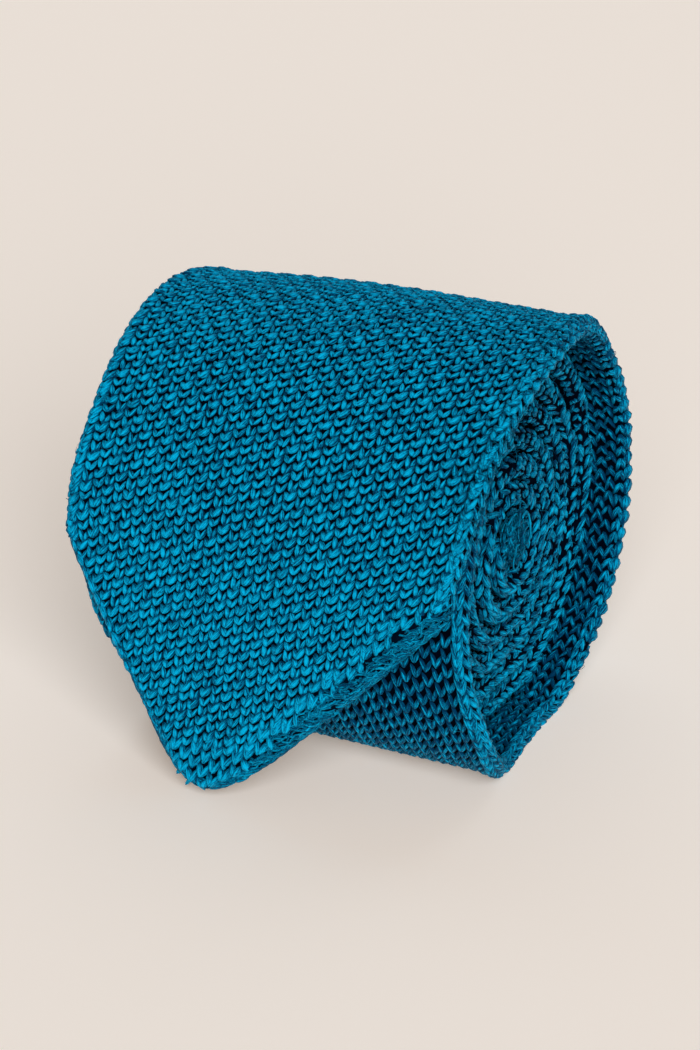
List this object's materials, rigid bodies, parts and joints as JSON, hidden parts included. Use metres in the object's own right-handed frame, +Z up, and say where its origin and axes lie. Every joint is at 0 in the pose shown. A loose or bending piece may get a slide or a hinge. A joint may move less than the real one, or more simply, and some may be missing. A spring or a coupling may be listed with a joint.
{
  "type": "rolled knit necktie",
  "caption": "Knitted necktie with a pointed blade, folded in half, rolled up from the fold and lying on its side.",
  "frame": {"origin": "middle of the flat stretch of the outermost turn that the roll rests on", "axes": "+Z up, X along the roll's axis, -Y towards the hanging point of the blade"},
  "size_m": [0.0673, 0.0779, 0.0654],
  "materials": {
    "knit": "petrol blue knitted yarn with a soft sheen",
    "hem": "petrol blue yarn, turned hem with loose fibres"
  },
  "bodies": {
    "root": {"knit_strip": "knit", "point_facing": "hem"}
  },
  "joints": []
}
